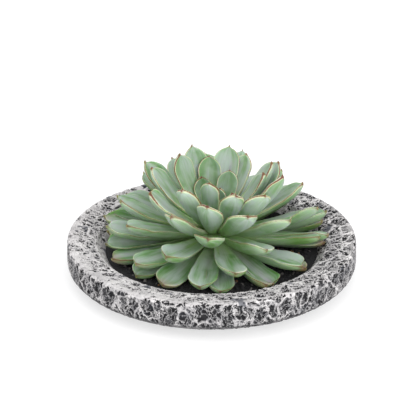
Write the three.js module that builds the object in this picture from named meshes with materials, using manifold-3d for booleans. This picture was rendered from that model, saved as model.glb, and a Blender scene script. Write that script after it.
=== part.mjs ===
// A potted echeveria: one leaf rosette, the potting mix that it grows in, and a shallow round dish.
// Millimetres, +Z up. The origin is the middle of the dish's foot. The front of the plant faces -Y.

import * as THREE from 'three';
import Module from 'manifold-3d';

// Dish, cast in one piece: a flat foot, a flared underside, an upright band and a wide sloping rim
const DISH_RADIUS = 90;
const DISH_HEIGHT = 26;
const FOOT_RADIUS = 64;
const BAND_HEIGHT = 16;
const BAND_LEAN = 0.3;
const EDGE_ROUND = 2.5;
const FLARE = { out: 12, up: 1 };
const FLARE_END = 2;
const MOUTH_RADIUS = 70.6;
const RIM_FALL = 2.7;
const LIP_ROUND = 1;
const FLOOR_HEIGHT = 7;
const FLOOR_RADIUS = 57;
const DISH_SIDES = 108;
const CURVE_STEPS = 3;

// Relief of the band and the rim's top: waves round the dish, bent by a slower wave
const PIT_DEPTH = 1;
const PIT_WAVES = [
  { share: 0.6, around: 19, run: 0.43, bend: 1.6, bendsAround: 7 },
  { share: 0.4, around: 43, run: -0.59, bend: 2, bendsAround: 11 },
];

// Potting mix, heaped in low lumps, and level at the wall and at the stem
const SOIL_DEPTH = 8.2;
const SOIL_RINGS = 6;
const SOIL_SIDES = 48;
const SEAT_GAP = 0.3;
const LUMP_HEIGHT = 0.22;
const LUMPS = [
  { run: 0.32, around: 5 },
  { run: 0.45, around: -9 },
];

// Stem, standing in a plain hole in the mix
const STEM_RADIUS = 8.5;
const STEM_TAPER = 1;
const STEM_DEPTH = 8;
const STEM_SIDES = 16;
const BUD_CORE = 3;

// Leaf: a wedge that widens to its shoulders, with a blunt round end and a short point
const LEAF_HALF_WIDTH = 9;
const BUD_HALF_WIDTH = 4.2;
const SLIMMING_POWER = 8;
const SHOULDER = { outer: 0.91, bud: 0.8 };
const ROOT_WIDTH = 0.33;
const WEDGE_POWER = 2.1;
const END_POWER = { outer: 0.47, bud: 0.63 };
const TIP_POINT = 0.03;
const LEAF_THICKNESS = 5;
const FULL_TO = 0.25;
const THIN_OVER = 0.78;
const THIN_POWER = 8;
const KEEL_POWER = 3;
const MARGIN_THICKNESS = 1.5;
const CHANNEL = 0.26;
const TWIST = 9;
const TWIST_BEAT = 2.1;
const ROLL = 9;
const ROOT_SINK = 1;
const ACROSS = [1, 0.5, -0.5, -1];
const STATIONS = [0, 0.35, 0.65];
const END_STATIONS = [0, 0.6, 0.93];

// Rosette: the spiral that the leaves grow in, from the outermost leaf to the bud, in degrees
const LEAF_COUNT = 73;
const GOLDEN_ANGLE = 137.508;
const FIRST_TURN = 169.2;
const LOW_RISE = -3.1;
const TOP_RISE = 82.9;
const RISE_POWER = 2.307;
const OUTER_BEND = 10;
const BUD_BEND = 34;
const LEAF_LENGTH = { ages: [0, 0.33, 0.62, 0.88, 1], values: [66.2, 70.1, 60.6, 50, 16] };
const ROOT_HEIGHT = 1.6;
const CROWN_HEIGHT = 3.6;
const LEAN = { x: 1.2, y: 1.7 };
const OFFSET = { x: 2.3, y: 2.3 };

// Waves along the spiral, in degrees: leaves crowd and rise unevenly, as on a grown plant
const TURN_WAVES = [
  { size: 2.7, beat: 2.45, start: 2.179 },
  { size: 3.09, beat: 1.945, start: 0.939 },
  { size: 4.41, beat: 2.245, start: 2.091 },
];
const RISE_WAVES = [
  { size: 1.68, beat: 2.478, start: 2.626 },
  { size: 1.5, beat: 1.614, start: 6.14 },
];

// Leaves that stand a few degrees off the spiral, by their number: turn, rise and roll
const LEAF_SHIFTS = {
  4: [0, 1, 0],
  6: [0, 1, 0],
  11: [0, 1, 0],
  16: [-5, -3, 0],
  17: [0, 2, 0],
  24: [5, -1, 0],
  32: [0, -2, 0],
  38: [5, 0, 0],
  45: [0, 3, 0],
  47: [7, 7, 0],
  49: [4, 3, 0],
  50: [7, 3, -14],
  51: [4, 10, 0],
  52: [6, -9, 0],
  53: [2, 0, 0],
  54: [-6, 4, 25],
  55: [5, -1, -24],
  56: [-1, -3, 0],
  58: [7, -2, 0],
  59: [9, -1, 22],
  60: [-2, 5, -14],
  61: [5, -6, 0],
  62: [4, -13, 14],
  63: [-28, -3, -32],
  64: [17, -7, 25],
  66: [8, 1, 0],
  67: [32, -3, 35],
  68: [-20, -8, -20],
  69: [30, -4, 0],
};

// Heights above the foot that follow from the sizes
const BAND_FOOT = DISH_HEIGHT - BAND_HEIGHT;
const LIP_HEIGHT = DISH_HEIGHT - RIM_FALL;
const SOIL_LEVEL = DISH_HEIGHT - SOIL_DEPTH;
const STEM_FOOT = SOIL_LEVEL - STEM_DEPTH;

const { degToRad, lerp, mapLinear } = THREE.MathUtils;

const wasm = await Module();
wasm.setup();

/** A closed surface through rings of equal length, each end closed by a fan about its pole. */
function loft(rings, firstPole, lastPole) {
  const sides = rings[0].length;
  const points = [firstPole, ...rings.flat(), lastPole];
  const last = points.length - 1;
  const index = [];
  for (let j = 0; j < sides; j++) {
    const next = (j + 1) % sides;
    index.push(0, 1 + next, 1 + j);
    for (let k = 0; k < rings.length - 1; k++) {
      const low = 1 + k * sides;
      const high = low + sides;
      index.push(low + j, low + next, high + next);
      index.push(low + j, high + next, high + j);
    }
    index.push(last, last - sides + j, last - sides + next);
  }
  const geometry = new THREE.BufferGeometry();
  geometry.setAttribute('position', new THREE.Float32BufferAttribute(points.flat(), 3));
  geometry.setIndex(index);
  return geometry;
}

/** One ring about the Z axis, its points shifted out and up by relief(turn, radius, height). */
function circle(radius, height, sides, relief = () => [0, 0]) {
  return Array.from({ length: sides }, (_, j) => {
    const turn = (2 * Math.PI * j) / sides;
    const [out, up] = relief(turn, radius, height);
    return [(radius + out) * Math.cos(turn), (radius + out) * Math.sin(turn), height + up];
  });
}

/** The inner wall's radius at a height: it narrows from the lip to the floor. */
function wallRadius(height) {
  return mapLinear(height, LIP_HEIGHT - LIP_ROUND, FLOOR_HEIGHT, MOUTH_RADIUS, FLOOR_RADIUS);
}

/** The dish's section from the foot over the rim and down to its floor, as radius and height. */
function dishSection() {
  const shoulder = DISH_RADIUS - EDGE_ROUND;
  const bandTop = DISH_RADIUS - BAND_LEAN;
  const path = new THREE.Path();
  path.moveTo(FOOT_RADIUS, 0);
  path.quadraticCurveTo(FOOT_RADIUS + FLARE.out, FLARE.up, shoulder, BAND_FOOT - FLARE_END);
  path.quadraticCurveTo(DISH_RADIUS, BAND_FOOT, DISH_RADIUS, BAND_FOOT + EDGE_ROUND);
  path.lineTo(DISH_RADIUS, BAND_FOOT + BAND_HEIGHT / 2);
  path.lineTo(bandTop, DISH_HEIGHT - EDGE_ROUND);
  path.quadraticCurveTo(bandTop, DISH_HEIGHT, shoulder, DISH_HEIGHT);
  path.lineTo((DISH_RADIUS + MOUTH_RADIUS) / 2, DISH_HEIGHT - RIM_FALL / 2);
  path.lineTo(MOUTH_RADIUS + LIP_ROUND, LIP_HEIGHT);
  path.lineTo(MOUTH_RADIUS, LIP_HEIGHT - LIP_ROUND);
  path.lineTo(wallRadius(SOIL_LEVEL), SOIL_LEVEL);
  path.lineTo(FLOOR_RADIUS, FLOOR_HEIGHT);
  return path.getPoints(CURVE_STEPS);
}

/** How deep the face is pitted, from 0 to 1, at a turn and a run across it. */
function pitting(turn, run) {
  const relief = PIT_WAVES.reduce((sum, wave) => {
    const bent = wave.bend * Math.sin(wave.bendsAround * turn + run);
    return sum + wave.share * Math.sin(wave.around * turn + wave.run * run + bent);
  }, 0);
  return (1 - relief) / 2;
}

/** Relief of the dish: inwards on the band, down on the rim's top, none inside or beneath. */
function dishRelief(turn, radius, height) {
  if (radius <= MOUTH_RADIUS + LIP_ROUND || height <= BAND_FOOT + EDGE_ROUND) return [0, 0];
  const sunk = -PIT_DEPTH * pitting(turn, radius + height);
  const onBand = radius > DISH_RADIUS - EDGE_ROUND / 2;
  return onBand ? [sunk, 0] : [0, sunk];
}

function makeDish() {
  const rings = dishSection().map((point) => circle(point.x, point.y, DISH_SIDES, dishRelief));
  return loft(rings, [0, 0, 0], [0, 0, FLOOR_HEIGHT]);
}

/** The mix fills the dish up to the soil level, with a plain blind hole for the stem. */
function makeSoil() {
  const lumpy = (turn, radius) => {
    const waves = LUMPS.map((lump) => Math.sin(lump.run * radius + lump.around * turn));
    return [0, LUMP_HEIGHT * (waves[0] + waves[1])];
  };
  const level = SOIL_LEVEL - 2 * LUMP_HEIGHT;
  const foot = FLOOR_HEIGHT + SEAT_GAP;
  const hole = STEM_RADIUS + SEAT_GAP;
  const outer = wallRadius(SOIL_LEVEL) - 2 * SEAT_GAP;
  const rings = [circle(FLOOR_RADIUS - 2 * SEAT_GAP, foot, SOIL_SIDES)];
  for (let k = 0; k <= SOIL_RINGS; k++) {
    const radius = lerp(outer, hole, k / SOIL_RINGS);
    const atEdge = k === 0 || k === SOIL_RINGS;
    rings.push(circle(radius, level, SOIL_SIDES, atEdge ? undefined : lumpy));
  }
  rings.push(circle(hole, STEM_FOOT, SOIL_SIDES));
  return loft(rings, [0, 0, foot], [0, 0, STEM_FOOT]);
}

/** The value at an age, evenly between the values given at the ages on either side of it. */
function atAge({ ages, values }, age) {
  const k = Math.max(1, ages.findIndex((stop) => age <= stop));
  return mapLinear(age, ages[k - 1], ages[k], values[k - 1], values[k]);
}

/** The sum of the waves at leaf number i. */
function sway(waves, i) {
  return waves.reduce((sum, wave) => sum + wave.size * Math.sin(wave.beat * i + wave.start), 0);
}

/** Where leaf number i grows, and its measures. All roll one way, those on the right the most. */
function leafPlace(i) {
  const age = i / (LEAF_COUNT - 1);
  const rise = LOW_RISE + (TOP_RISE - LOW_RISE) * age ** RISE_POWER;
  const [turnShift, riseShift, rollShift] = LEAF_SHIFTS[i] ?? [0, 0, 0];
  const turn = degToRad(FIRST_TURN + GOLDEN_ANGLE * i + sway(TURN_WAVES, i) + turnShift);
  const roll = TWIST * Math.sin(TWIST_BEAT * i) - ROLL * (1 + Math.cos(turn));
  return {
    turn,
    rise: degToRad(rise + sway(RISE_WAVES, i) + riseShift),
    twist: degToRad(roll + rollShift),
    bend: degToRad(lerp(OUTER_BEND, BUD_BEND, age)),
    length: atAge(LEAF_LENGTH, age),
    halfWidth: lerp(LEAF_HALF_WIDTH, BUD_HALF_WIDTH, age ** SLIMMING_POWER),
    shoulder: lerp(SHOULDER.outer, SHOULDER.bud, age),
    endPower: lerp(END_POWER.outer, END_POWER.bud, age),
    root: ROOT_HEIGHT + CROWN_HEIGHT * age,
  };
}

/** Half the leaf's width at a share s of its length, as a share of the widest. */
function outline(s, shoulder, endPower) {
  if (s < shoulder) {
    const wedge = Math.sin((Math.PI / 2) * (s / shoulder)) ** WEDGE_POWER;
    return lerp(ROOT_WIDTH, 1, wedge);
  }
  const v = (s - shoulder) / (1 - shoulder);
  return (1 - v * v) ** endPower;
}

/** The leaf's thickness along its keel at a share s of its length. */
function keelThickness(s) {
  const v = Math.max(0, s - FULL_TO) / THIN_OVER;
  return LEAF_THICKNESS * Math.sqrt(1 - v ** THIN_POWER);
}

/** One closed leaf along +X, root at the origin: channelled above, keeled below, curved upwards. */
function makeLeaf({ length, halfWidth, shoulder, endPower, bend, rise, twist }) {
  const radius = length / (2 * Math.sin(bend / 2));
  const start = rise - bend / 2;
  const midrib = (s) => {
    const angle = start + bend * s;
    const x = radius * (Math.sin(angle) - Math.sin(start));
    const z = radius * (Math.cos(start) - Math.cos(angle));
    return { angle, x, z };
  };
  const stations = [...STATIONS, ...END_STATIONS.map((v) => lerp(shoulder, 1, v))];
  const rings = stations.map((s) => {
    const { angle, x, z } = midrib(s);
    const half = halfWidth * outline(s, shoulder, endPower);
    const keel = keelThickness(s) - MARGIN_THICKNESS;
    const twisted = twist * s;
    const at = (u, drop) => {
      const flat = CHANNEL * half * u * u - drop;
      const across = half * u * Math.cos(twisted) - flat * Math.sin(twisted);
      const lift = half * u * Math.sin(twisted) + flat * Math.cos(twisted);
      return [x - lift * Math.sin(angle), across, z + lift * Math.cos(angle)];
    };
    const upper = ACROSS.map((u) => at(u, 0));
    const lower = ACROSS.map((u) => at(-u, MARGIN_THICKNESS + keel * (1 - Math.abs(u) ** KEEL_POWER)));
    return [...upper, ...lower];
  });
  const foot = midrib(0);
  const tip = midrib(1 + TIP_POINT);
  return loft(rings, [foot.x, 0, foot.z - ROOT_SINK], [tip.x, 0, tip.z]);
}

/** The short stem, round in section, from the hole in the mix up into the bud. */
function makeStem() {
  const foot = STEM_FOOT + SEAT_GAP;
  const crown = DISH_HEIGHT + ROOT_HEIGHT + CROWN_HEIGHT;
  const rings = [
    circle(STEM_RADIUS, foot, STEM_SIDES),
    circle(STEM_RADIUS, SOIL_LEVEL, STEM_SIDES),
    circle(STEM_RADIUS - STEM_TAPER, DISH_HEIGHT, STEM_SIDES),
    circle(STEM_RADIUS / 2, crown, STEM_SIDES),
  ];
  return loft(rings, [0, 0, foot], [0, 0, crown + BUD_CORE]);
}

/** Stem and leaves grown together in one solid, with any pocket sealed between roots filled. */
function makeRosette() {
  const lean = new THREE.Euler(degToRad(LEAN.x), degToRad(LEAN.y), 0);
  const crownPlace = new THREE.Matrix4().makeRotationFromEuler(lean);
  crownPlace.setPosition(OFFSET.x, OFFSET.y, DISH_HEIGHT);
  let plant = toSolid(makeStem());
  for (let i = 0; i < LEAF_COUNT; i++) {
    const place = leafPlace(i);
    const leaf = makeLeaf(place);
    leaf.translate(0, 0, place.root);
    leaf.rotateZ(place.turn);
    leaf.applyMatrix4(crownPlace);
    plant = plant.add(toSolid(leaf));
  }
  const shells = plant.decompose();
  shells.sort((a, b) => b.volume() - a.volume());
  return toGeometry(shells[0]);
}

function toSolid(geometry) {
  const vertProperties = new Float32Array(geometry.attributes.position.array);
  const triVerts = new Uint32Array(geometry.index.array);
  return new wasm.Manifold(new wasm.Mesh({ numProp: 3, vertProperties, triVerts }));
}

function toGeometry(solid) {
  const mesh = solid.getMesh();
  const geometry = new THREE.BufferGeometry();
  geometry.setAttribute('position', new THREE.BufferAttribute(mesh.vertProperties, 3));
  geometry.setIndex(new THREE.BufferAttribute(mesh.triVerts, 1));
  return geometry;
}

function addPart(group, name, geometry, finish) {
  geometry.computeVertexNormals();
  const mesh = new THREE.Mesh(geometry, new THREE.MeshStandardMaterial(finish));
  mesh.name = name;
  group.add(mesh);
}

const pottedEcheveria = new THREE.Group();
addPart(pottedEcheveria, 'dish', makeDish(), { color: 0x8b8886, roughness: 0.85, metalness: 0 });
addPart(pottedEcheveria, 'soil', makeSoil(), { color: 0x1e1a18, roughness: 1, metalness: 0 });
addPart(pottedEcheveria, 'rosette', makeRosette(), { color: 0x8fb797, roughness: 0.55, metalness: 0 });

export default pottedEcheveria;
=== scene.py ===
"""Looks for the potted echeveria: the leaf rosette, the potting mix and the pitted dish."""

import math

import bpy
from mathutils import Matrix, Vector


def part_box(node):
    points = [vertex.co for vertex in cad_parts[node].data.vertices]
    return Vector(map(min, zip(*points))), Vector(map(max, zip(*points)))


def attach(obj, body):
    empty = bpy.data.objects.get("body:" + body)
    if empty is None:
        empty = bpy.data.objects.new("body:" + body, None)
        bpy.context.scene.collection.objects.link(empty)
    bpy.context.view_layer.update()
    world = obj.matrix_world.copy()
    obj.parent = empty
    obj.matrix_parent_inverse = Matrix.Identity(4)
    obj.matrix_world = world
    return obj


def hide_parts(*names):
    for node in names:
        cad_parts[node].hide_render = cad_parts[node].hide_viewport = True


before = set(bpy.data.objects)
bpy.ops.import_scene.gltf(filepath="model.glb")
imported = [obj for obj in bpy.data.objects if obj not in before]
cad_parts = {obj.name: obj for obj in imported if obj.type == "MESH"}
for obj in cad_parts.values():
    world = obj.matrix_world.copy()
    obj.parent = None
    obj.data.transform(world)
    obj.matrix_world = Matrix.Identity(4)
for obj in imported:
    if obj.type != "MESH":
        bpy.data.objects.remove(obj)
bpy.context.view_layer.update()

MM = 0.001
_, DISH_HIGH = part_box("dish")
DISH_RADIUS = DISH_HIGH[0]
RIM_HEIGHT = DISH_HIGH[2]

bl_info = {
    "name": "Potted echeveria",
    "version": (1, 0, 0),
    "blender": (4, 5, 0),
    "location": "View3D > Sidebar > Echeveria",
    "description": "Grows an echeveria rosette in a pitted dish of potting mix",
    "category": "Object",
}

# The spiral that the leaves grow in, outermost leaf first: the same rule as in the solids.
# A wave has its size in degrees, then its beat for each leaf and its start in radians. A search
# found the waves' numbers and the leaf lengths, against leaf tips read off one by one.
GOLDEN_ANGLE = 137.508
TURN_WAVES = [(2.7, 2.45, 2.179), (3.09, 1.945, 0.939), (4.41, 2.245, 2.091)]
RISE_WAVES = [(1.68, 2.478, 2.626), (1.5, 1.614, 6.14)]
RISE_POWER = 2.307
TWIST_BEAT = 2.1

# Leaf lengths in millimetres at five ages, from the outermost leaf at 0 to the bud at 1
LENGTH_AGES = (0.0, 0.33, 0.62, 0.88, 1.0)
LEAF_LENGTHS = (66.2, 70.1, 60.6, 50.0, 16.0)
SLIMMING_POWER = 8

# Leaves that stand a few degrees off the spiral, by their number: turn, rise and roll
LEAF_SHIFTS = {
    4: (0, 1, 0),
    6: (0, 1, 0),
    11: (0, 1, 0),
    16: (-5, -3, 0),
    17: (0, 2, 0),
    24: (5, -1, 0),
    32: (0, -2, 0),
    38: (5, 0, 0),
    45: (0, 3, 0),
    47: (7, 7, 0),
    49: (4, 3, 0),
    50: (7, 3, -14),
    51: (4, 10, 0),
    52: (6, -9, 0),
    53: (2, 0, 0),
    54: (-6, 4, 25),
    55: (5, -1, -24),
    56: (-1, -3, 0),
    58: (7, -2, 0),
    59: (9, -1, 22),
    60: (-2, 5, -14),
    61: (5, -6, 0),
    62: (4, -13, 14),
    63: (-28, -3, -32),
    64: (17, -7, 25),
    66: (8, 1, 0),
    67: (32, -3, 35),
    68: (-20, -8, -20),
    69: (30, -4, 0),
}

# What differs by chance from leaf to leaf: the seed of each draw, and its least and most shares
LEAF_SEEDS = {"width": 9, "bend": 8, "keel": 7, "end": 5}
WIDTH_SPREAD = (0.93, 1.05)
BEND_SPREAD = (0.75, 1.25)
CHANNEL_SPREAD = (1.35, 0.65)
END_SPREAD = 0.1

# A leaf's outline and section, as shares of its length and width
ROOT_WIDTH = 0.33
ROOT_POINT = 0.015
ROOT_CLOSES = 0.03
WEDGE_POWER = 2.1
OUTER_SHOULDER = 0.91
BUD_SHOULDER = 0.8
OUTER_END_POWER = 0.42
BUD_END_POWER = 0.58
TIP_POINT = 0.03
TIP_THINS = 0.98
POINT_TAPER = 1.3
POINT_WIDTH = 0.06
FULL_TO = 0.25
THIN_OVER = 0.78
THIN_POWER = 8

# The keel under a leaf: how far it strays from the middle, and how sharp its crease is
KEEL_SKEW = 0.8
KEEL_CREASE = 0.25
CREASE_POWER = 1.4
BELLY_POWER = 3

# The flutter of a leaf's margin: its beats along, across and from leaf to leaf, and where it grows
FLUTTER_BEATS = (4.5, 1.3, 40.0)
FLUTTER_POWER = 3
FLUTTER_FROM, FLUTTER_FULL = 0.3, 0.8

# Points along and round a leaf and the stem. A leaf's rings crowd towards its tip by this power
LEAF_STEPS = (40, 29)
STEM_STEPS = (34, 49)
TIP_CROWDING = 1.3

# The stem, in millimetres: height of its foot in the hole, and the scars that wind up it
STEM_FOOT = 10.1
STEM_INSET = 0.6
STEM_ROUGHNESS = 1.2
SCAR_DEPTH = 0.3
SCAR_BEAT = 2.2
SCAR_WIND = 2.0
STEM_END_POWER = 6
STEM_CLOSES = 0.02

# The dish's section, in millimetres: the flare under the band, the band's lean and the lip
FLARE_REACH = 12
FLARE_SLOPE = 0.1
FLARE_DROP = 2
BAND_LEAN = 0.3
LIP_WIDTH = 3
LIP_FALL = 0.3
LIP_EDGE = 1
LIP_ROUND = 0.1

# How pitted the dish's face is along its section, from 0 to 1
FLARE_PITS = 0.3
BAND_PITS = 1.0
CORNER_PITS = 0.2
EDGE_PITS = 0.25
RIM_PITS = 0.75
LIP_PITS = 0.35
MOUTH_PITS = 0.3
WALL_PITS = 0.1

# Steps round the dish and the mix, and along the longer stretches of their sections
DISH_SIDES = 1081
SOIL_SIDES = 241
CURVE_STEPS = 7
BAND_STEPS = 20
RIM_STEPS = 26
WALL_STEPS = 12
BED_STEPS = 44

# Sizes on the cast face, in millimetres: craters, the pits in them, and holes in its smooth skin
CRATER_SIZE = 8.0
PIT_SIZE = 3.0
HOLE_SIZE = 2.6

# Craters and pits are this share as wide as they are high
CRATER_SLIMNESS = 0.65

# How the cells of the cast face are bent: the noise's scale, and how far it moves a point
BROAD_BEND = (0.2, 7.0)
FINE_BEND = (0.8, 1.6)

# How far each side of the middle, in millimetres, the face goes from worn on the left to more
# cratered on the right and at the back, and the shares of craters that this adds
WEATHERED_REACH = 50.0
WEATHERED_SHARES = (0.08, 0.28)
WORN_REACH = 60.0

# Height of the band's lower edge, below which painted shade darkens the face, in millimetres
BAND_FOOT = 10.0

# The bed of mix, in millimetres, and how open it must lie for grains and flakes to rest on it
BED_BELOW_TOP = 0.4
HOLE_DEPTH = 6
OPEN_FROM = 0.35

# Smallest and largest grains of the mix and flakes of dry leaf, as half their sizes in metres
GRAIN_SIZES = ((0.0005, 0.0005, 0.0004), (0.0024, 0.002, 0.0017))
FLAKE_SIZES = ((0.0012, 0.0006, 0.0002), (0.0036, 0.0014, 0.0003))

# Seeds of the draws for the mix, and what tells a flake from a grain in the grain attribute
TONE_SEED = 3
GRAIN_SEED = 11
FLAKE_SEED = 17
FLAKE_MARK = 2.0

# Fineness of the mottle on each material. Its clouds are this share of the grit's scale
LEAF_GRIT = 900.0
STONE_GRIT = 1.6
MIX_GRIT = 1200.0
CLOUD_SCALE = 0.08

# Points nearer than this, in metres, are one point along a seam or at a pole
SEAM = 0.00001

# The floor reaches this far, in metres. The lamps' places are metres from the middle of the foot
FLOOR_REACH = 6.0
KEY_PLACE = (-0.15, -0.3, 0.95)
FILL_PLACE = (0.6, -1.05, 0.6)
SENSOR_WIDTH = 36.0
WHITE = (1.0, 1.0, 1.0, 1.0)


class Field:
    """A value in a node tree. Arithmetic on it adds the Math nodes that work the result out."""

    def __init__(self, tree, socket):
        self.tree = tree
        self.socket = socket

    def math(self, operation, *others):
        return math_node(self.tree, operation, self, *others)

    def __add__(self, other):
        return self.math("ADD", other)

    def __sub__(self, other):
        return self.math("SUBTRACT", other)

    def __rsub__(self, other):
        return math_node(self.tree, "SUBTRACT", other, self)

    def __mul__(self, other):
        return self.math("MULTIPLY", other)

    def __truediv__(self, other):
        return self.math("DIVIDE", other)

    def __pow__(self, other):
        return self.math("POWER", other)

    __radd__ = __add__
    __rmul__ = __mul__

    def sin(self):
        return self.math("SINE")

    def cos(self):
        return self.math("COSINE")

    def sqrt(self):
        return self.math("SQRT")

    def abs(self):
        return self.math("ABSOLUTE")

    def least(self, other):
        return self.math("MINIMUM", other)

    def most(self, other):
        return self.math("MAXIMUM", other)

    def above(self, other):
        return self.math("GREATER_THAN", other)

    def ramp(self, low, high, start=0.0, end=1.0, smooth=False):
        """Runs from start to end as the value goes from low to high, and stays level outside."""
        ends = {"Value": self, "From Min": low, "From Max": high, "To Min": start, "To Max": end}
        settings = {"clamp": True, "interpolation_type": "SMOOTHSTEP" if smooth else "LINEAR"}
        return out(add_node(self.tree, "ShaderNodeMapRange", ends, **settings), "Result")


def feed(value, socket):
    """Links a field to a socket, or sets a plain value on it."""
    if isinstance(value, Field):
        socket.id_data.links.new(value.socket, socket)
    else:
        socket.default_value = value


def math_node(tree, operation, *values):
    node = tree.nodes.new("ShaderNodeMath")
    node.operation = operation
    for value, socket in zip(values, node.inputs):
        feed(value, socket)
    return out(node)


def add_node(tree, kind, inputs=None, **settings):
    """Adds a node, sets its options and feeds its inputs by name or number."""
    node = tree.nodes.new(kind)
    for option, value in settings.items():
        setattr(node, option, value)
    for name, value in (inputs or {}).items():
        feed(value, node.inputs[name])
    return node


def out(node, name=0):
    return Field(node.id_data, node.outputs[name])


def made(tree, kind, inputs=None, **settings):
    """Adds a node and gives its first output."""
    return out(add_node(tree, kind, inputs, **settings))


def combine(tree, x, y, z):
    return made(tree, "ShaderNodeCombineXYZ", {"X": x, "Y": y, "Z": z})


def split(tree, vector):
    node = add_node(tree, "ShaderNodeSeparateXYZ", {0: vector})
    return [out(node, axis) for axis in ("X", "Y", "Z")]


def scaled(tree, vector, factor):
    return made(tree, "ShaderNodeVectorMath", {0: vector, "Scale": factor}, operation="SCALE")


def vector_sum(tree, first, second):
    return made(tree, "ShaderNodeVectorMath", {0: first, 1: second}, operation="ADD")


def noise(tree, vector, scale, detail=2.0, roughness=0.5, output=0):
    """A noise texture's value from 0 to 1, or its output of another name."""
    inputs = {"Vector": vector, "Scale": scale, "Detail": detail, "Roughness": roughness}
    return out(add_node(tree, "ShaderNodeTexNoise", inputs), output)


# Geometry trees


def geometry_tree(name, inputs):
    """A geometry tree with named number inputs; returns the tree, its input geometry and fields."""
    tree = bpy.data.node_groups.new(name, "GeometryNodeTree")
    tree.interface.new_socket("Geometry", in_out="INPUT", socket_type="NodeSocketGeometry")
    tree.interface.new_socket("Geometry", in_out="OUTPUT", socket_type="NodeSocketGeometry")
    for title, value in inputs.items():
        kind = "NodeSocketInt" if isinstance(value, int) else "NodeSocketFloat"
        tree.interface.new_socket(title, in_out="INPUT", socket_type=kind)
    entry = tree.nodes.new("NodeGroupInput")
    fields = {title: out(entry, title) for title in inputs}
    return tree, out(entry, "Geometry"), fields


def close_tree(tree, geometry, material):
    """Ends a geometry tree: instances made real, the material set, the output linked."""
    real = made(tree, "GeometryNodeRealizeInstances", {"Geometry": geometry})
    dressed = made(tree, "GeometryNodeSetMaterial", {0: real, "Material": material})
    feed(dressed, tree.nodes.new("NodeGroupOutput").inputs["Geometry"])


def store(tree, geometry, name, value, kind="FLOAT"):
    inputs = {"Geometry": geometry, "Name": name, "Value": value}
    return made(tree, "GeometryNodeStoreNamedAttribute", inputs, data_type=kind, domain="POINT")


def recall(tree, name):
    return made(tree, "GeometryNodeInputNamedAttribute", {"Name": name}, data_type="FLOAT")


def position(tree):
    return made(tree, "GeometryNodeInputPosition")


def moved(tree, geometry, **where):
    """The geometry with each point at a new Position, or shifted by an Offset."""
    return made(tree, "GeometryNodeSetPosition", {"Geometry": geometry, **where})


def merged(tree, geometry):
    return made(tree, "GeometryNodeMergeByDistance", {0: geometry, "Distance": SEAM})


def smoothed(tree, geometry):
    return made(tree, "GeometryNodeSetShadeSmooth", {0: geometry})


def joined(tree, *parts):
    node = tree.nodes.new("GeometryNodeJoinGeometry")
    for part in parts:
        feed(part, node.inputs[0])
    return out(node)


def unit_sheet(tree, rows, columns):
    """A flat grid, with how far along it a point lies from 0 to 1, and the turn round it in radians."""
    size = {"Size X": 1.0, "Size Y": 1.0, "Vertices X": rows, "Vertices Y": columns}
    grid = made(tree, "GeometryNodeMeshGrid", size)
    x, y, _ = split(tree, position(tree))
    return grid, x + 0.5, (y + 0.5) * -math.tau


def ring_point(tree, radius, turn, height):
    return combine(tree, radius * turn.cos(), radius * turn.sin(), height)


def grown_object(name, tree, values, mesh=None):
    """Runs a geometry tree once on an object and keeps the result as a plain mesh."""
    seed_mesh = mesh or bpy.data.meshes.new(name + "_start")
    piece = bpy.data.objects.new(name, seed_mesh)
    bpy.context.scene.collection.objects.link(piece)
    modifier = piece.modifiers.new(name, "NODES")
    modifier.node_group = tree
    for item in tree.interface.items_tree:
        if item.in_out == "INPUT" and item.name in values:
            modifier[item.identifier] = values[item.name]
    depsgraph = bpy.context.evaluated_depsgraph_get()
    result = bpy.data.meshes.new_from_object(piece.evaluated_get(depsgraph))
    piece.modifiers.remove(modifier)
    piece.data = result
    if not len(result.polygons):
        raise RuntimeError(name + " came out empty")
    return piece


# Rosette


def leaf_template(tree):
    """A flat grid that becomes one leaf: 'along' runs root to tip, 'across' and 'side' round it."""
    sheet, share, circle = unit_sheet(tree, *LEAF_STEPS)
    along = (1.0 - (1.0 - share) ** TIP_CROWDING) * (1 + TIP_POINT)
    sheet = store(tree, sheet, "along", along)
    sheet = store(tree, sheet, "across", circle.cos())
    return store(tree, sheet, "side", circle.sin())


def leaf_outline(along, shoulder, end_power):
    """Half-width along the leaf as a share of the widest, with a short point at the tip."""
    rise = (along.least(shoulder) / shoulder * (math.pi / 2)).sin() ** WEDGE_POWER
    blade = rise * (1 - ROOT_WIDTH) + ROOT_WIDTH
    beyond = ((along - shoulder) / (1.0 - shoulder)).most(0.0).least(1.0)
    cap = (1.0 - beyond * beyond).most(0.0) ** end_power
    point = ((1 + TIP_POINT - along) * POINT_TAPER).most(0.0).least(POINT_WIDTH)
    return (blade * cap).most(point) * along.ramp(0.0, ROOT_POINT)


def leaf_length(age):
    """A leaf's length in millimetres, in straight steps between the named ages."""
    length = LEAF_LENGTHS[0]
    for k in range(len(LEAF_LENGTHS) - 1):
        step = LEAF_LENGTHS[k + 1] - LEAF_LENGTHS[k]
        length = age.ramp(LENGTH_AGES[k], LENGTH_AGES[k + 1], 0.0, step) + length
    return length


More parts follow.
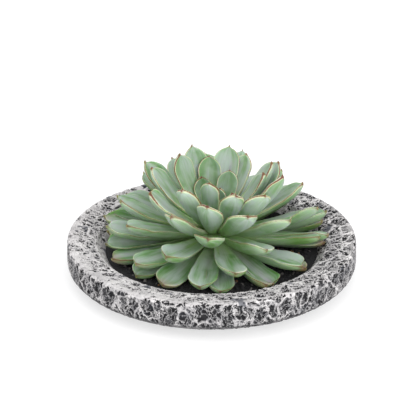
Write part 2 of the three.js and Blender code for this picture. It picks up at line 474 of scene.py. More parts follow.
def leaf_places(tree, field):
    """One point for each leaf, numbered from the outermost, with where and how it grows."""
    number = made(tree, "GeometryNodeInputIndex")
    count = field["Leaf count"]
    age = number / (count - 1.0)

    def sway(waves):
        total = 0.0
        for size, beat, start in waves:
            total = (number * beat + start).sin() * size + total
        return total

    def shifts(kind):
        total = 0.0
        for leaf, shift in LEAF_SHIFTS.items():
            total = number.math("COMPARE", leaf, 0.5) * shift[kind] + total
        return total

    def chance(what):
        inputs = {"ID": number, "Seed": LEAF_SEEDS[what]}
        return out(add_node(tree, "FunctionNodeRandomValue", inputs), "Value")

    to_radians = math.pi / 180
    turn = (number * GOLDEN_ANGLE + sway(TURN_WAVES) + shifts(0)) * to_radians + field["First turn"]
    climb = (field["Top rise"] - field["Low rise"]) * age ** RISE_POWER
    rise = climb + field["Low rise"] + (sway(RISE_WAVES) + shifts(1)) * to_radians
    roll = (number * TWIST_BEAT).sin() * field["Twist"] - (turn.cos() + 1.0) * field["Roll"]
    slim = age ** SLIMMING_POWER
    half_width = field["Leaf half-width"] * (1.0 - slim) + field["Bud half-width"] * slim
    bend = field["Outer bend"] * (1.0 - age) + field["Bud bend"] * age
    end_power = age.ramp(0.0, 1.0, OUTER_END_POWER, BUD_END_POWER)
    places = made(tree, "GeometryNodePoints", {"Count": count})
    for name, value in (
        ("age", age),
        ("turn", turn),
        ("rise", rise),
        ("length", leaf_length(age)),
        ("half_width", half_width * chance("width").ramp(0.0, 1.0, *WIDTH_SPREAD)),
        ("bend", bend * chance("bend").ramp(0.0, 1.0, *BEND_SPREAD)),
        ("twist", roll + shifts(2) * to_radians),
        ("root", field["Root height"] + field["Crown height"] * age),
        ("chance", chance("keel")),
        ("shoulder", age.ramp(0.0, 1.0, OUTER_SHOULDER, BUD_SHOULDER)),
        ("end_power", end_power + chance("end") * END_SPREAD),
    ):
        places = store(tree, places, name, value)
    return places


def leaf_section(tree, field, half, along):
    """How far above the midrib's line a point round the leaf's section lies, in millimetres."""
    across, side, chance = (recall(tree, name) for name in ("across", "side", "chance"))
    margin = field["Margin"] * along.ramp(0.0, ROOT_CLOSES) * along.ramp(1 + TIP_POINT, TIP_THINS)
    thin_end = (1.0 - ((along - FULL_TO) / THIN_OVER).most(0.0) ** THIN_POWER).most(0.0).sqrt()
    full = field["Thickness"] * thin_end * along.ramp(0.0, ROOT_CLOSES)
    skew = (chance - 0.5) * KEEL_SKEW
    belly = ((across - skew) / (1.0 - skew * across)).abs()
    crease = 1.0 - (belly**CREASE_POWER * KEEL_CREASE + belly**BELLY_POWER * (1 - KEEL_CREASE))
    keel = crease * (full - margin).most(0.0)
    rounding = side.abs().sqrt() * margin * 0.5
    beats = zip((along, across, chance), FLUTTER_BEATS)
    beat = combine(tree, *(value * step for value, step in beats))
    stray = noise(tree, beat, 1.0, 1.0) - 0.5
    flutter = stray * across.abs() ** FLUTTER_POWER * along.ramp(FLUTTER_FROM, FLUTTER_FULL)
    channel = field["Channel"] * chance.ramp(0.0, 1.0, *CHANNEL_SPREAD)
    lift = channel * half * across * across - margin * 0.5 + flutter * field["Flutter"]
    return lift + side.above(0.0) * rounding - (1.0 - side.above(0.0)) * (rounding + keel)


def rosette_tree(material, inputs):
    """Leaves on a golden-angle spiral, each shaped by formula from its number along the spiral."""
    tree, _, field = geometry_tree("Echeveria rosette", inputs)
    growth = {"Points": leaf_places(tree, field), "Instance": leaf_template(tree)}
    copies = made(tree, "GeometryNodeInstanceOnPoints", growth)
    leaves = made(tree, "GeometryNodeRealizeInstances", {"Geometry": copies})
    plant = joined(tree, stem_surface(tree, field), bent_leaves(tree, field, leaves))
    leaning = position(tree)
    for axis, angle_name in (("Y_AXIS", "Lean right"), ("X_AXIS", "Lean front")):
        lean = {"Vector": leaning, "Angle": field[angle_name]}
        leaning = made(tree, "ShaderNodeVectorRotate", lean, rotation_type=axis)
    centre = combine(tree, field["Middle right"], field["Middle back"], field["Rim height"])
    world = scaled(tree, vector_sum(tree, leaning, centre), MM)
    closed = merged(tree, moved(tree, plant, Position=world))
    close_tree(tree, smoothed(tree, closed), material)
    return tree


def bent_leaves(tree, field, leaves):
    """The flat leaves wrapped round their sections, bent along an arc, twisted and turned out."""
    along, across = recall(tree, "along"), recall(tree, "across")
    width = leaf_outline(along, recall(tree, "shoulder"), recall(tree, "end_power"))
    half = recall(tree, "half_width") * width
    bend, rise, length = (recall(tree, name) for name in ("bend", "rise", "length"))
    radius = length / ((bend / 2.0).sin() * 2.0)
    start = rise - bend / 2.0
    angle = start + bend * along
    x = radius * (angle.sin() - start.sin())
    z = radius * (start.cos() - angle.cos())
    from_end = (1.0 + TIP_POINT * 0.5 - along) * length
    sheet = store(tree, leaves, "edge", (half * (1.0 - across.abs())).least(from_end))

    section = leaf_section(tree, field, half, along)
    twist = recall(tree, "twist") * along
    sideways = half * across * twist.cos() - section * twist.sin()
    lift = half * across * twist.sin() + section * twist.cos()
    out_x = x - lift * angle.sin()
    out_z = z + lift * angle.cos() + recall(tree, "root")
    spin = recall(tree, "turn")
    placed = combine(
        tree,
        out_x * spin.cos() - sideways * spin.sin(),
        out_x * spin.sin() + sideways * spin.cos(),
        out_z,
    )
    return moved(tree, sheet, Position=placed)


def stem_surface(tree, field):
    """The short stem from the mix up into the crown, ringed by the scars of shed leaves."""
    sheet, share, turn = unit_sheet(tree, *STEM_STEPS)
    foot = STEM_FOOT - RIM_HEIGHT / MM
    height = share * (field["Root height"] + field["Crown height"] - foot) + foot
    round_about = combine(tree, turn.cos(), turn.sin(), height * 0.4)
    rough = noise(tree, round_about, 2.0, 3.0, 0.6) - 0.5
    scar = (height * SCAR_BEAT + turn * SCAR_WIND).sin() * SCAR_DEPTH
    closing = (1.0 - share**STEM_END_POWER).most(0.0).sqrt() * share.ramp(0.0, STEM_CLOSES)
    radius = (field["Stem radius"] - STEM_INSET + scar + rough * STEM_ROUGHNESS) * closing
    sheet = store(tree, sheet, "stem", 1.0)
    return moved(tree, sheet, Position=ring_point(tree, radius, turn, height))


# Materials


def new_material(name):
    material = bpy.data.materials.new(name)
    material.use_nodes = True
    tree = material.node_tree
    return material, tree, tree.nodes["Principled BSDF"]


def set_plain(shader, values):
    for name, value in values.items():
        shader.inputs[name].default_value = value


def bump(tree, shader, height, strength, distance):
    relief = {"Height": height, "Strength": strength, "Distance": distance}
    feed(made(tree, "ShaderNodeBump", relief), shader.inputs["Normal"])


def attribute(tree, name, output="Fac"):
    return out(add_node(tree, "ShaderNodeAttribute", attribute_name=name), output)


def mix_colours(tree, share, first, second):
    return out(add_node(tree, "ShaderNodeMix", {0: share, 6: first, 7: second}, data_type="RGBA"), 2)


def layered(tree, body, layers):
    """Lays each colour over the ones before it, by its share from 0 to 1."""
    for share, colour in layers:
        body = mix_colours(tree, share, body, colour)
    return body


def object_place(tree):
    return out(add_node(tree, "ShaderNodeTexCoord"), "Object")


def srgb(red, green, blue):
    """A colour given in the usual 0 to 255 steps, as the linear colour that nodes hold."""
    steps = [channel / 255 for channel in (red, green, blue)]
    linear = [c / 12.92 if c <= 0.04045 else ((c + 0.055) / 1.055) ** 2.4 for c in steps]
    return (*linear, 1.0)


# Colours that the settings below leave out
YOUNG_GREEN = srgb(168, 186, 160)
# Yellow-green of a leaf's root, made lighter as painted light that lifts the shade between the leaves
ROOT_GREEN_AND_PAINTED_LIGHT = srgb(168, 199, 130)
RUBBED_GREEN = srgb(76, 127, 57)
# Deeper green of the bud's leaves: partly their own colour, partly painted shade deep in the crown
BUD_GREEN_AND_SHADE = srgb(80, 114, 76)
# Greener undersides of older leaves: partly their own tone, partly painted shade
UNDERSIDE_GREEN_AND_SHADE = srgb(98, 134, 50)
WITHERED = srgb(140, 92, 74)
OLD_MARGIN = srgb(104, 78, 58)
DARK_BARK = srgb(70, 54, 40)
LIGHT_BARK = srgb(116, 98, 70)
# Dusty dark in the pits: partly the stone's own tone, partly painted shade
PIT_DUST_AND_SHADE = srgb(38, 37, 40)
STONE = srgb(110, 109, 110)
BLUE_STONE = srgb(86, 87, 92)
GREY_RIDGE = srgb(196, 193, 194)
SLATE = srgb(74, 78, 88)
# Painted shade under the band's lower edge
SHADE_BELOW_BAND = srgb(58, 58, 61)
PALE_GRAIN = srgb(104, 100, 98)
DRY_LEAF_DARK = srgb(84, 44, 32)
DRY_LEAF_LIGHT = srgb(150, 112, 78)
FLOOR_CLOUD = srgb(176, 176, 177)


def mottle(tree, place, scale):
    """Fine grit and soft clouds at a place, each from 0 to 1, from one group that all share."""
    group = bpy.data.node_groups.get("Mottle")
    if group is None:
        group = bpy.data.node_groups.new("Mottle", "ShaderNodeTree")
        for title, way, kind in (
            ("Place", "INPUT", "Vector"),
            ("Scale", "INPUT", "Float"),
            ("Grit", "OUTPUT", "Float"),
            ("Cloud", "OUTPUT", "Float"),
        ):
            group.interface.new_socket(title, in_out=way, socket_type="NodeSocket" + kind)
        entry = group.nodes.new("NodeGroupInput")
        leave = group.nodes.new("NodeGroupOutput")
        where, size = out(entry, "Place"), out(entry, "Scale")
        feed(noise(group, where, size, 4.0, 0.7), leave.inputs["Grit"])
        feed(noise(group, where, size * CLOUD_SCALE, 3.0), leave.inputs["Cloud"])
    node = add_node(tree, "ShaderNodeGroup", {"Place": place, "Scale": scale}, node_tree=group)
    return out(node, "Grit"), out(node, "Cloud")


def leaf_material(plant):
    """Mottled green under a waxy bloom, with a pale margin and a red line along it."""
    material, tree, shader = new_material("leaf")
    names = ("along", "across", "side", "edge", "age", "chance", "stem")
    leaf = {name: attribute(tree, name) for name in names}
    along, across, side = leaf["along"], leaf["across"], leaf["side"]
    grit, cloud = mottle(tree, object_place(tree), LEAF_GRIT)
    apart = leaf["chance"] * 60.0
    lengthwise = combine(tree, along * 1.5, across * 0.75 + side * 0.5, apart)
    blotch = noise(tree, lengthwise, 1.5, 2.0, 0.45)
    narrow = combine(tree, along * 2.0, across * 5.0 + side, apart)
    streak = noise(tree, narrow, 1.5, 2.0)

    body = leaf_body(tree, plant, leaf, blotch, streak, cloud)
    body = leaf_margin(tree, plant, leaf, body, blotch, streak, grit)
    bark = mix_colours(tree, streak.ramp(0.4, 0.6), DARK_BARK, LIGHT_BARK)
    feed(mix_colours(tree, leaf["stem"], body, bark), shader.inputs["Base Color"])
    feed(grit.ramp(0.3, 0.7, 0.48, 0.6), shader.inputs["Roughness"])
    flesh = {
        "Subsurface Weight": 0.45,
        "Subsurface Radius": (0.5, 1.0, 0.3),
        "Subsurface Scale": 0.006,
        "Specular IOR Level": 0.3,
    }
    set_plain(shader, flesh)
    bump(tree, shader, grit * 0.4 + streak * 0.4 + blotch, 0.25, 0.001)
    return material


def leaf_body(tree, plant, leaf, blotch, streak, cloud):
    """The flat of a leaf: yellow-green with painted light at its root, blooming on top, greener with
    painted shade on undersides and in the bud, dry at old ends.
    """
    along, age = leaf["along"], leaf["age"]
    mottled = (blotch * 0.6 + cloud * 0.4).ramp(0.38, 0.62)
    # Lighter towards the root: partly the root's own yellow-green, partly painted light in the shaded
    # gaps
    root_tone_and_painted_light = along.ramp(0.15, 0.75, 1.0, 0.0, smooth=True) * 0.9
    bloom = ((blotch + streak * 0.35).ramp(0.5, 0.8) * 0.66 + 0.04) * along.ramp(0.2, 0.6)
    rubbed = cloud.ramp(0.54, 0.66) * (1.0 - bloom) * 0.65
    # Painted shade on the undersides of older leaves, laid over their own greener tone
    shaded_grown_underside = (1.0 - leaf["side"].above(0.0)) * (1.0 - young_share(leaf))
    underside_tone_and_shade = shaded_grown_underside * along.ramp(0.2, 0.5) * 0.48
    old_end = age.ramp(0.1, 0.45, 1.0, 0.0) * along.ramp(0.9, 1.0)
    withered = old_end * (blotch + leaf["chance"]).ramp(0.9, 1.3) * 0.7
    body = mix_colours(tree, mottled, plant.deep_green, plant.soft_green)
    layers = (
        (age.ramp(0.3, 0.75, 0.0, 0.35), YOUNG_GREEN),
        (root_tone_and_painted_light, ROOT_GREEN_AND_PAINTED_LIGHT),
        (bloom, plant.bloom),
        (rubbed, RUBBED_GREEN),
        # painted shade on the bud's leaves, over their own deeper green
        (age.ramp(0.86, 0.97, 0.0, 0.5), BUD_GREEN_AND_SHADE),
        (underside_tone_and_shade, UNDERSIDE_GREEN_AND_SHADE),
        (withered, WITHERED),
    )
    return layered(tree, body, layers)


def leaf_margin(tree, plant, leaf, body, blotch, streak, grit):
    """A pale margin, a red line on it towards the tip, and a dark point at the tip."""
    along, age, young = leaf["along"], leaf["age"], young_share(leaf)
    rim = leaf["edge"] + (grit - 0.5) * 0.4 + (blotch - 0.5) * 0.9
    upper = (leaf["side"].above(0.0) * 0.75 + 0.25).most(young)
    pale = rim.ramp(0.25, 0.65, 1.0, 0.0) * along.ramp(0.1, 0.4) * upper
    pale = pale * blotch.ramp(0.42, 0.65, 0.05, 0.5).most(young * 0.85)
    line_width = age.ramp(0.35, 0.75, 0.19, 0.29)
    red = rim.ramp(0.04, line_width, 1.0, 0.0) * along.ramp(0.35, 0.8)
    red = red * streak.ramp(0.35, 0.6, 0.5, 0.9).most(young)
    tip = along.ramp(0.992, 1.02) * (young * 0.35 + 0.65)
    layers = (
        (pale, plant.pale_margin),
        (red, mix_colours(tree, young, OLD_MARGIN, plant.red_margin)),
        (tip, plant.dark_tip),
    )
    return layered(tree, body, layers)


def young_share(leaf):
    """How young a leaf looks, from 0 in the outer leaves to 1 towards the bud."""
    return leaf["age"].ramp(0.4, 0.7)


def stone_material(dish):
    """White ridges round dark pits with painted shade in them, most worn on the left, and painted shade
    below the band.
    """
    material, tree, shader = new_material("cast_stone")
    place = attribute(tree, "cast_place", "Vector")
    pits = attribute(tree, "pits")
    relief = cast_relief(tree, place, pits)
    grit, cloud = mottle(tree, place, STONE_GRIT)
    sideways, _, height = split(tree, place)
    worn = sideways.ramp(-WORN_REACH, WORN_REACH, 1.0, 0.0)
    plain = 1.0 - pits
    level = relief + (grit - 0.5) * 1.1 - 0.08 - (1.0 - worn) * plain * 0.42
    ridged = (level + plain * 0.72 + (worn - 0.5) * 0.04).ramp(0.66, 1.05)
    drift = noise(tree, place, 0.09, 1.0)
    slate = drift.ramp(0.64, 0.67) * pits.ramp(0.8, 0.95, 1.0, 0.3) * 0.8
    # Painted shade on the face below the band's lower edge
    below = height.ramp(BAND_FOOT + 0.5, BAND_FOOT + 1.8, 0.75, 0.0)
    # The pits' dark: the stone's own dark tone with dust, and painted shade in the hollows
    dark = mix_colours(tree, cloud.ramp(0.4, 0.6), dish.pit_colour_and_shade, PIT_DUST_AND_SHADE)
    middle = mix_colours(tree, cloud.ramp(0.35, 0.65), STONE, BLUE_STONE)
    light = mix_colours(tree, cloud.ramp(0.35, 0.65), dish.ridge_colour, GREY_RIDGE)
    # Darkest where the relief is lowest: painted shade in the pits over the stone's tone
    body = mix_colours(tree, level.ramp(0.1, 0.6), dark, middle)
    body = layered(tree, body, ((ridged, light), (slate, SLATE), (below, SHADE_BELOW_BAND)))
    feed(body, shader.inputs["Base Color"])
    set_plain(shader, {"Roughness": 0.85})
    bump(tree, shader, relief + grit * 0.5, 0.9, 0.0015)
    return material


def mix_material(soil):
    """Dark specks, paler coarse grains and dry brown flakes."""
    material, tree, shader = new_material("potting_mix")
    grain = attribute(tree, "grain")
    speck, _ = mottle(tree, object_place(tree), MIX_GRIT)
    dry = mix_colours(tree, speck.ramp(0.4, 0.6), DRY_LEAF_DARK, DRY_LEAF_LIGHT)
    body = mix_colours(tree, speck.ramp(0.35, 0.7), soil.dark_speck, soil.light_speck)
    body = layered(tree, body, ((grain.ramp(0.82, 0.98), PALE_GRAIN), (grain.above(1.5), dry)))
    feed(body, shader.inputs["Base Color"])
    set_plain(shader, {"Roughness": 0.95})
    bump(tree, shader, speck, 0.6, 0.0006)
    return material


def floor_material(stage):
    """A pale floor that glows enough to hide most of its shadows."""
    material, tree, shader = new_material("studio_floor")
    cloud = noise(tree, object_place(tree), 4.0)
    body = mix_colours(tree, cloud, FLOOR_CLOUD, stage.floor_colour)
    feed(body, shader.inputs["Base Color"])
    glow = {"Roughness": 0.9, "Emission Color": WHITE, "Emission Strength": stage.floor_glow}
    set_plain(shader, glow)
    return material


# Dish and potting mix, both turned from a section


def section_mesh(name, points):
    """The section as loose vertices in the XZ plane, in metres, each with how pitted it is."""
    mesh = bpy.data.meshes.new(name)
    mesh.from_pydata([(r * MM, 0, z * MM) for r, z, _ in points], [], [])
    layer = mesh.attributes.new("pitted", "FLOAT", "POINT")
    for k, (_, _, pitted) in enumerate(points):
        layer.data[k].value = pitted
    return mesh


def turned_surface(tree, section, points, sides):
    """A surface of revolution through the section's vertices, seam and poles closed."""
    sheet, share, turn = unit_sheet(tree, points, sides)
    step = (share * (points - 1.0)).math("ROUND")

    def along_section(value, kind):
        inputs = {"Geometry": section, "Value": value, "Index": step}
        return made(tree, "GeometryNodeSampleIndex", inputs, data_type=kind, domain="POINT")

    spot = along_section(position(tree), "FLOAT_VECTOR")
    sheet = store(tree, sheet, "pits", along_section(recall(tree, "pitted"), "FLOAT"))
    radius, _, height = split(tree, spot)
    return merged(tree, moved(tree, sheet, Position=ring_point(tree, radius, turn, height)))


def arc(start, control, end, steps):
    """Points after the start along a quadratic curve, in section coordinates."""
    points = []
    for k in range(1, steps + 1):
        t = k / steps
        points.append(
            tuple(
                (1 - t) ** 2 * a + 2 * t * (1 - t) * b + t * t * c
                for a, b, c in zip(start, control, end)
            )
        )
    return points


def line(start, end, steps):
    """Points after the start along a straight line, in section coordinates."""
    return [
        tuple(a + (b - a) * k / steps for a, b in zip(start, end)) for k in range(1, steps + 1)
    ]


def dish_section(dish):
    """The dish from the foot's middle, over the rim and down to its floor: radius, height, pits."""
    radius = DISH_RADIUS / MM
    height = RIM_HEIGHT / MM
    edge = dish.edge_round / MM
    foot = dish.foot_radius / MM
    band_foot = height - dish.band_height / MM
    band_top = radius - BAND_LEAN
    mouth = dish.mouth_radius / MM
    lip = height - dish.rim_fall / MM
    floor = dish.floor_height / MM
    stops = [(0.0, 0.0, 0.0)]
    stops += line(stops[-1], (foot, 0.0, 0.0), 2)
    flare = (foot + FLARE_REACH, FLARE_SLOPE * band_foot, 0.0)
    stops += arc(stops[-1], flare, (radius - edge, band_foot - FLARE_DROP, FLARE_PITS), CURVE_STEPS)
    corner = (radius, band_foot, BAND_PITS)
    stops += arc(stops[-1], corner, (radius, band_foot + edge, BAND_PITS), CURVE_STEPS)
    stops += line(stops[-1], (band_top, height - edge, BAND_PITS), BAND_STEPS)
    corner = (band_top, height, CORNER_PITS)
    stops += arc(stops[-1], corner, (radius - edge, height, EDGE_PITS), CURVE_STEPS)
    stops += line(stops[-1], (mouth + LIP_WIDTH, lip + LIP_FALL, RIM_PITS), RIM_STEPS)
    stops += line(stops[-1], (mouth + LIP_EDGE, lip, LIP_PITS), 3)
    corner = (mouth + LIP_ROUND, lip - LIP_ROUND, MOUTH_PITS)
    stops += arc(stops[-1], corner, (mouth, lip - LIP_EDGE, MOUTH_PITS), 3)
    stops += line(stops[-1], (dish.wall_foot_radius / MM, floor, WALL_PITS), WALL_STEPS)
    stops += [(0.0, floor, 0.0)]
    return stops


def cast_relief(tree, place, pits):
    """How proud the cast face stands at a place, from 0 in the pits to 1 on the ridges."""

    def wander(scale, reach):
        terms = {0: noise(tree, place, scale, output="Color"), 1: (0.5, 0.5, 0.5)}
        return scaled(tree, made(tree, "ShaderNodeVectorMath", terms, operation="SUBTRACT"), reach)

    def cells(size, feature, output):
        inputs = {"Vector": squeezed, "Scale": 1 / size}
        return out(add_node(tree, "ShaderNodeTexVoronoi", inputs, feature=feature), output)

    bent = vector_sum(tree, vector_sum(tree, place, wander(*BROAD_BEND)), wander(*FINE_BEND))
    x, y, height = split(tree, bent)
    squeezed = combine(tree, x, y, height * CRATER_SLIMNESS)
    granular = noise(tree, bent, 0.9, 4.0, 0.75) - 0.5
    broad = noise(tree, place, 0.06, 2.0)

    away = cells(CRATER_SIZE, "DISTANCE_TO_EDGE", "Distance") * CRATER_SIZE
    crater_wall = away.ramp(0.2, broad.ramp(0.35, 0.65, 0.7, 1.6), 1.0, 0.0, smooth=True)
    away = cells(PIT_SIZE, "DISTANCE_TO_EDGE", "Distance") * PIT_SIZE
    pit_wall = away.ramp(0.05, broad.ramp(0.35, 0.65, 0.8, 0.45), 0.9, 0.0, smooth=True)
    depth, _, _ = split(tree, cells(PIT_SIZE, "F1", "Color"))
    bed = depth.ramp(0.25, 0.9, -0.15, 0.45) + granular * 1.2
    structure = crater_wall.most(pit_wall).most(bed)

    holes = cells(HOLE_SIZE, "F1", "Distance").ramp(0.12, 0.3, 0.55, 0.0)
    skin = 0.78 + granular * pits.ramp(0.0, 0.4, 0.4, 1.0) - holes * broad.ramp(0.3, 0.6)
    patches = noise(tree, place, 0.14, 3.0) - 0.5
    sideways, backward, _ = split(tree, place)
    exposed = sideways.most(backward)
    weathered = exposed.ramp(-WEATHERED_REACH, WEATHERED_REACH, *WEATHERED_SHARES)
    cover = (pits + patches * 1.8 + weathered).ramp(0.35, 0.6, smooth=True)
    return (skin + (structure - skin) * cover).most(0.0).least(1.0)


def dish_tree(material, inputs, points):
    """The dish turned from its section, its pits sunk between ridges along the surface's normal."""
    tree, section, field = geometry_tree("Pitted dish", inputs)
    surface = turned_surface(tree, section, points, DISH_SIDES)
    place = scaled(tree, position(tree), 1 / MM)
    surface = store(tree, surface, "cast_place", place, "FLOAT_VECTOR")
    pits = recall(tree, "pits")
    relief = cast_relief(tree, place, pits)
    normal = made(tree, "GeometryNodeInputNormal")
    sink = (relief - 1.0) * pits.ramp(0.0, 0.3) * field["Pit depth"]
    surface = moved(tree, surface, Offset=scaled(tree, normal, sink))
    close_tree(tree, smoothed(tree, surface), material)
    return tree


def soil_section(soil):
    """The mix from the foot's middle, up the wall and over the bed into the stem's hole."""
    low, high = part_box("soil")
    reach = high[0] / MM
    foot = low[2] / MM
    top = high[2] / MM - BED_BELOW_TOP
    hole = soil.hole_radius / MM
    stops = [(0.0, foot, 0.0), (reach * 0.5, foot, 0.0)]
    stops += line(stops[-1], (reach * 0.85, foot, 0.0), 2)
    stops += line(stops[-1], (reach, top, 0.3), 4)
    stops += line(stops[-1], (hole, top, 1.0), BED_STEPS)
    stops += line(stops[-1], (hole, top - HOLE_DEPTH, 0.0), 3)
    stops += [(0.0, top - HOLE_DEPTH, 0.0)]
    return stops


def soil_tree(material, inputs, points):
    """Potting mix: a lumpy bed with coarse grains and a few dry flakes of leaf strewn over it."""
    tree, section, field = geometry_tree("Potting mix", inputs)
    bed = turned_surface(tree, section, points, SOIL_SIDES)
    place = scaled(tree, position(tree), 1 / MM)
    lumps = noise(tree, place, 0.5, 3.0, 0.6) - 0.55
    rise = combine(tree, 0.0, 0.0, lumps * recall(tree, "pits") * field["Lumps"])
    bed = store(tree, moved(tree, bed, Offset=rise), "grain", 0.0)
    tone = out(add_node(tree, "FunctionNodeRandomValue", {"Seed": TONE_SEED}), "Value")
    grains = strewn_bits(tree, bed, field["Grains per m2"], GRAIN_SEED, tone, GRAIN_SIZES)
    flakes = strewn_bits(tree, bed, field["Flakes per m2"], FLAKE_SEED, tone + FLAKE_MARK, FLAKE_SIZES)
    close_tree(tree, joined(tree, bed, grains, flakes), material)
    return tree


def strewn_bits(tree, bed, density, seed, kind, sizes):
    """Angular bits strewn over the bed at any turn, their sizes drawn between two, in metres."""
    exposed = recall(tree, "pits").above(OPEN_FROM)
    ground = {"Mesh": bed, "Density": density, "Seed": seed, "Selection": exposed}
    strewn = made(tree, "GeometryNodeDistributePointsOnFaces", ground)
    copies = {
        "Points": store(tree, strewn, "grain", kind),
        "Instance": made(tree, "GeometryNodeMeshIcoSphere", {"Radius": 1.0, "Subdivisions": 1}),
        "Rotation": random_vector(tree, seed + 1, (0.0, 0.0, 0.0), (math.tau, math.tau, math.tau)),
        "Scale": random_vector(tree, seed + 2, *sizes),
    }
    return made(tree, "GeometryNodeInstanceOnPoints", copies)


def random_vector(tree, seed, least, most):
    """A vector drawn for each point between two, always the same for the same seed."""
    node = add_node(tree, "FunctionNodeRandomValue", {"Seed": seed}, data_type="FLOAT_VECTOR")
    node.inputs[0].default_value = least
    node.inputs[1].default_value = most
    return out(node, "Value")


# Settings, in metres and radians


def number_property(name, description, default, **kind):
    return bpy.props.FloatProperty(name=name, description=description, default=default, **kind)


def length_property(name, description, millimetres):
    return number_property(name, description, millimetres * MM, min=0.0, unit="LENGTH")


def angle_property(name, description, degrees):
    return number_property(name, description, math.radians(degrees), subtype="ANGLE")


def amount_property(name, description, default, **kind):
    return number_property(name, description, default, min=0.0, **kind)


def colour_property(name, description, red, green, blue):
    return bpy.props.FloatVectorProperty(
        name=name,
        description=description,
        default=srgb(red, green, blue),
        size=4,
        min=0.0,
        max=1.0,
        subtype="COLOR",
    )


class RosetteSettings(bpy.types.PropertyGroup):
    leaf_count: bpy.props.IntProperty(
        name="Leaf count",
        description="Leaves from the outermost to the bud",
        default=73,
        min=8,
        max=90,
    )
    first_turn: angle_property("First turn", "Direction of the outermost leaf", 169.2)
    low_rise: angle_property("Low rise", "Rise of the outermost leaves above level", -3.1)
    top_rise: angle_property("Top rise", "Rise of the leaves round the bud", 82.9)
    outer_bend: angle_property("Outer bend", "How far the outermost leaves bend up", 10)
    bud_bend: angle_property("Bud bend", "How far the bud's leaves bend up", 34)
    twist: angle_property("Twist", "Most that a leaf twists to either side", 9)
    roll: angle_property("Roll", "Roll of the front leaves. Those on the right roll twice as far", 9)
    lean_front: angle_property("Lean front", "Lean of the plant towards the front", 1.2)
    lean_right: angle_property("Lean right", "Lean of the plant towards the right", 1.7)
    middle_right: length_property("Middle right", "The plant's middle, right of the dish's", 2.3)
    middle_back: length_property("Middle back", "The plant's middle, behind the dish's", 2.3)
    root_height: length_property("Root height", "Height of the lowest leaf roots over the rim", 1.6)
    crown_height: length_property("Crown height", "Height from the lowest roots to the bud's", 3.6)
    stem_radius: length_property("Stem radius", "Radius of the stem", 8.5)
    leaf_half_width: length_property("Leaf half-width", "Half the width of a grown leaf", 9.0)
    bud_half_width: length_property("Bud half-width", "Half the width of the bud's leaves", 4.2)
    thickness: length_property("Thickness", "Thickness of a leaf along its keel", 5.0)
    margin: length_property("Margin", "Thickness of a leaf at its margin", 1.5)
    flutter: length_property("Flutter", "How far a leaf's margin strays up and down", 4.5)
    channel: amount_property("Channel", "Rise of a leaf's margins, as a share of half its width", 0.26)
    deep_green: colour_property("Deep green", "Darker blotches of a leaf", 79, 128, 53)
    soft_green: colour_property("Soft green", "Lighter blotches of a leaf", 140, 164, 127)
    bloom: colour_property("Bloom", "Waxy bloom on a leaf", 174, 184, 184)
    pale_margin: colour_property("Pale margin", "Band inside a leaf's red line", 220, 220, 186)
    red_margin: colour_property("Red margin", "Line along a leaf's margin", 112, 70, 56)
    dark_tip: colour_property("Dark tip", "Point at a leaf's tip", 92, 40, 34)


class DishSettings(bpy.types.PropertyGroup):
    band_height: length_property("Band", "Height of the upright pitted band", 16)
    foot_radius: length_property("Foot", "Radius of the flat foot", 64)
    mouth_radius: length_property("Mouth", "Radius of the mouth at the lip", 70.6)
    rim_fall: length_property("Rim fall", "How far the rim's top falls towards the mouth", 2.7)
    floor_height: length_property("Floor", "Height of the inner floor", 7)
    wall_foot_radius: length_property("Wall foot", "Radius of the wall at the floor", 57)
    edge_round: length_property("Edge", "Rounding of the outer edges", 2.5)
    pit_depth: length_property("Pit depth", "Depth of the cast pits", 1.2)
    # Dark stone in the deepest pits, with painted shade in them
    pit_colour_and_shade: colour_property("Pits", "Colour in the deepest pits", 16, 17, 22)
    ridge_colour: colour_property("Ridges", "Colour of the ridges and the worn face", 232, 229, 229)


class SoilSettings(bpy.types.PropertyGroup):
    hole_radius: length_property("Hole", "Radius of the hole that the stem stands in", 8.8)
    lumps: length_property("Lumps", "Height of the lumps in the bed", 1.4)
    grains: amount_property("Grains", "Grains on a square metre of the bed", 200000.0)
    flakes: amount_property("Flakes", "Flakes of dry leaf on a square metre of the bed", 6000.0)
    dark_speck: colour_property("Dark specks", "Darker specks of the mix", 15, 15, 17)
    light_speck: colour_property("Light specks", "Lighter specks of the mix", 46, 46, 49)


class StageSettings(bpy.types.PropertyGroup):
    view_height: angle_property("View height", "Camera's height above level", 26.3)
    view_distance: length_property("View distance", "From the camera to the rim's middle", 1080)
    aim_above: length_property("Aim above", "How far above the rim's middle the camera aims", 17)
    aim_left: length_property("Aim left", "How far left of the rim's middle the camera aims", 2.3)
    focal_length: number_property(
        "Lens", "Focal length in millimetres", 150.4, min=1.0, subtype="DISTANCE_CAMERA"
    )
    air_strength: amount_property("Air", "Strength of the even light from all sides", 0.87)
    lamp_size: length_property("Lamp size", "Side of each square lamp", 1200)
    key_power: amount_property("Key light", "Power of the lamp overhead", 4.2, unit="POWER")
    fill_power: amount_property("Front fill", "Power of the lamp in front", 11.5, unit="POWER")
    floor_colour: colour_property("Floor", "Colour of the floor", 182, 182, 182)
    floor_glow: amount_property("Floor glow", "How far the floor's own light hides its shadows", 0.6)


# Operators


def tree_inputs(settings):
    """The numbers in a settings group by their titles, lengths in millimetres."""
    inputs = {}
    for name, kind in settings.bl_rna.properties.items():
        if kind.type in ("INT", "FLOAT") and not kind.is_array:
            value = getattr(settings, name)
            inputs[kind.name] = value / MM if kind.unit == "LENGTH" else value
    return inputs


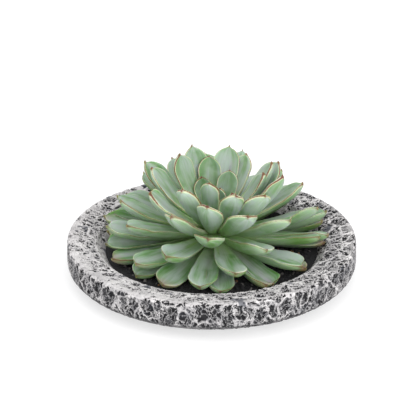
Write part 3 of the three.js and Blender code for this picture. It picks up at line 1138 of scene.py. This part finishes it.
class ECHEVERIA_OT_rosette(bpy.types.Operator):
    """Grow the leaf rosette in place of its plain solid"""

    bl_idname = "echeveria.rosette"
    bl_label = "Rosette"

    def execute(self, context):
        plant = context.scene.echeveria_rosette
        inputs = {"Rim height": RIM_HEIGHT / MM, **tree_inputs(plant)}
        tree = rosette_tree(leaf_material(plant), inputs)
        piece = grown_object("echeveria_leaves", tree, inputs)
        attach(piece, "root")
        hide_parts("rosette")
        return {"FINISHED"}


class ECHEVERIA_OT_dish(bpy.types.Operator):
    """Turn the pitted dish in place of its plain solid"""

    bl_idname = "echeveria.dish"
    bl_label = "Dish"

    def execute(self, context):
        dish = context.scene.echeveria_dish
        points = dish_section(dish)
        inputs = {"Pit depth": dish.pit_depth}
        tree = dish_tree(stone_material(dish), inputs, len(points))
        piece = grown_object("cast_dish", tree, inputs, section_mesh("dish_section", points))
        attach(piece, "root")
        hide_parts("dish")
        return {"FINISHED"}


class ECHEVERIA_OT_soil(bpy.types.Operator):
    """Fill the dish with potting mix in place of its plain solid"""

    bl_idname = "echeveria.soil"
    bl_label = "Potting mix"

    def execute(self, context):
        soil = context.scene.echeveria_soil
        points = soil_section(soil)
        inputs = {"Lumps": soil.lumps, "Grains per m2": soil.grains, "Flakes per m2": soil.flakes}
        tree = soil_tree(mix_material(soil), inputs, len(points))
        piece = grown_object("potting_mix_bed", tree, inputs, section_mesh("soil_section", points))
        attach(piece, "root")
        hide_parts("soil")
        return {"FINISHED"}


class ECHEVERIA_OT_stage(bpy.types.Operator):
    """Set the pale floor, the soft studio lights and the camera"""

    bl_idname = "echeveria.stage"
    bl_label = "Stage"

    def execute(self, context):
        stage = context.scene.echeveria_stage
        add_floor(context.scene, stage)
        add_lights(context.scene, stage)
        add_camera(context.scene, stage)
        context.scene.view_settings.view_transform = "Standard"
        return {"FINISHED"}


def add_floor(scene, stage):
    mesh = bpy.data.meshes.new("studio_floor")
    signs = ((-1, -1), (1, -1), (1, 1), (-1, 1))
    mesh.from_pydata([(x * FLOOR_REACH, y * FLOOR_REACH, 0) for x, y in signs], [], [(0, 1, 2, 3)])
    floor = bpy.data.objects.new("studio_floor", mesh)
    mesh.materials.append(floor_material(stage))
    scene.collection.objects.link(floor)


def add_lights(scene, stage):
    world = bpy.data.worlds.new("studio_air")
    world.use_nodes = True
    air = world.node_tree.nodes["Background"]
    air.inputs["Color"].default_value = WHITE
    air.inputs["Strength"].default_value = stage.air_strength
    scene.world = world
    add_softbox(scene, "key_light", KEY_PLACE, stage.lamp_size, stage.key_power)
    add_softbox(scene, "front_fill", FILL_PLACE, stage.lamp_size, stage.fill_power)


def add_softbox(scene, name, place, size, watts):
    """A square lamp that faces the middle of the rim."""
    lamp = bpy.data.lights.new(name, "AREA")
    lamp.shape = "SQUARE"
    lamp.size = size
    lamp.energy = watts
    softbox = bpy.data.objects.new(name, lamp)
    softbox.location = place
    aim = Vector((0.0, 0.0, RIM_HEIGHT)) - Vector(place)
    softbox.rotation_euler = aim.to_track_quat("-Z", "Y").to_euler()
    scene.collection.objects.link(softbox)


def add_camera(scene, stage):
    """The camera aims a little above the rim's middle, which gives the photograph's framing."""
    lens = bpy.data.cameras.new("photo_view")
    lens.lens = stage.focal_length
    lens.sensor_width = SENSOR_WIDTH
    camera = bpy.data.objects.new("photo_view", lens)
    rise = stage.view_height
    rim_middle = Vector((0.0, 0.0, RIM_HEIGHT))
    camera.location = rim_middle + Vector((0.0, -math.cos(rise), math.sin(rise))) * stage.view_distance
    upright = Vector((0.0, math.sin(rise), math.cos(rise)))
    aim = rim_middle + upright * stage.aim_above - Vector((stage.aim_left, 0.0, 0.0))
    camera.rotation_euler = (aim - camera.location).to_track_quat("-Z", "Y").to_euler()
    scene.collection.objects.link(camera)
    scene.camera = camera


class ECHEVERIA_PT_panel(bpy.types.Panel):
    """Lists the steps that build the potted echeveria"""

    bl_idname = "ECHEVERIA_PT_panel"
    bl_label = "Potted echeveria"
    bl_space_type = "VIEW_3D"
    bl_region_type = "UI"
    bl_category = "Echeveria"

    def draw(self, context):
        for step, (group, operator) in STEPS.items():
            box = self.layout.box()
            for name in group.__annotations__:
                box.prop(getattr(context.scene, step), name)
            box.operator(operator.bl_idname)


STEPS = {
    "echeveria_dish": (DishSettings, ECHEVERIA_OT_dish),
    "echeveria_soil": (SoilSettings, ECHEVERIA_OT_soil),
    "echeveria_rosette": (RosetteSettings, ECHEVERIA_OT_rosette),
    "echeveria_stage": (StageSettings, ECHEVERIA_OT_stage),
}


def register():
    for step, (group, operator) in STEPS.items():
        bpy.utils.register_class(group)
        setattr(bpy.types.Scene, step, bpy.props.PointerProperty(type=group))
        bpy.utils.register_class(operator)
    bpy.utils.register_class(ECHEVERIA_PT_panel)


def unregister():
    bpy.utils.unregister_class(ECHEVERIA_PT_panel)
    for step, (group, operator) in STEPS.items():
        bpy.utils.unregister_class(operator)
        delattr(bpy.types.Scene, step)
        bpy.utils.unregister_class(group)


def main():
    register()
    bpy.ops.echeveria.dish()
    bpy.ops.echeveria.soil()
    bpy.ops.echeveria.rosette()
    bpy.ops.echeveria.stage()


if __name__ == "__main__":
    main()
